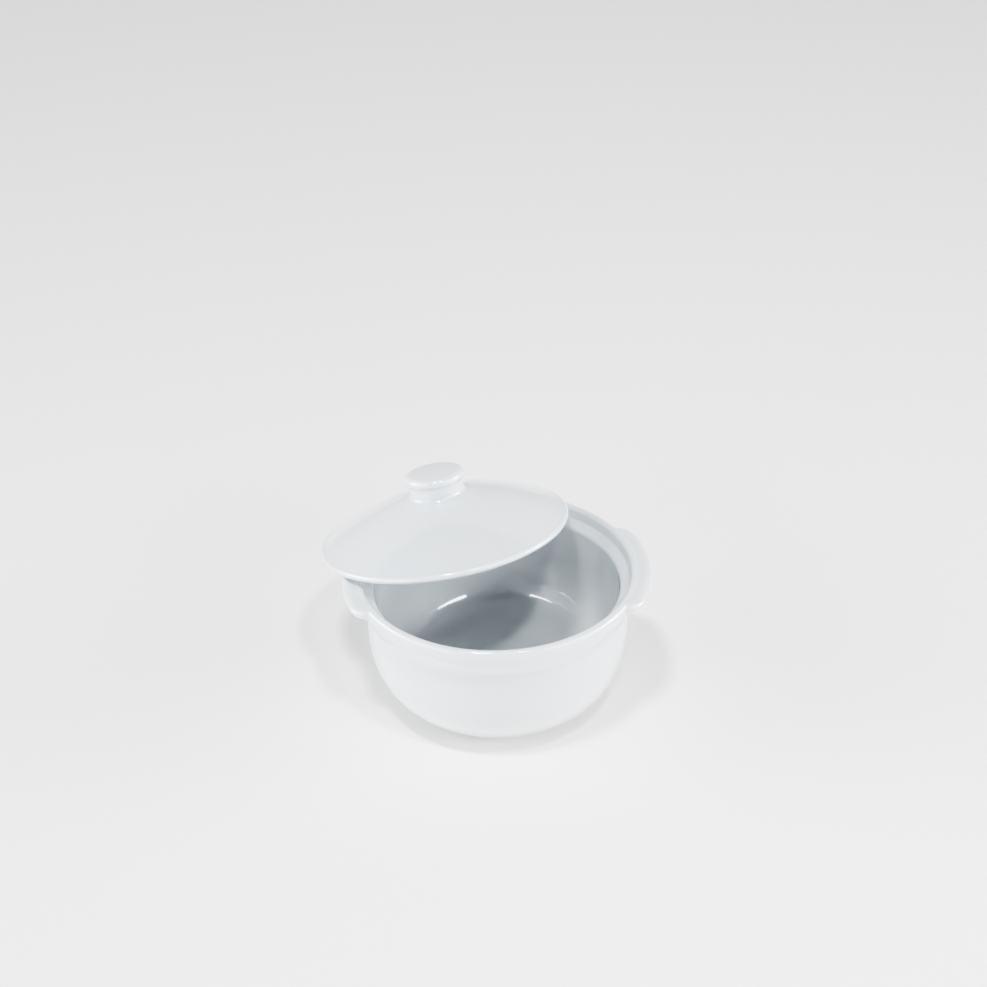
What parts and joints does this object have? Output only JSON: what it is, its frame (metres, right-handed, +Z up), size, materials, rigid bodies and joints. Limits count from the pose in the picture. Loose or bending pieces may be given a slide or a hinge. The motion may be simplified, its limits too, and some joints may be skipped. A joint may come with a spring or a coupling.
{
  "type": "lidded porcelain pot",
  "caption": "Round white porcelain pot with flared stepped rim and flat ear lugs, and a domed lid with a round knob lying askew across the rim.",
  "frame": {"origin": "centre of the foot ring, on the surface that the pot stands on", "axes": "+Z up along the bowl's axis, +X towards the right lug, the lid lies towards -X and +Y"},
  "size_m": [0.1939, 0.1949, 0.1266],
  "materials": {
    "pot_glaze": "clear gloss glaze over white porcelain",
    "lid_glaze": "clear gloss glaze over white porcelain"
  },
  "bodies": {
    "pot": {"pot_bowl": "pot_glaze", "left_lug": "pot_glaze", "right_lug": "pot_glaze"},
    "lid": {"lid_dome": "lid_glaze", "lid_knob": "lid_glaze"}
  },
  "joints": [
    {"name": "lid_lift", "type": "slide", "parent": "pot", "child": "lid", "axis": [0, 0, 1], "range_m": [0, 0.12]}
  ]
}
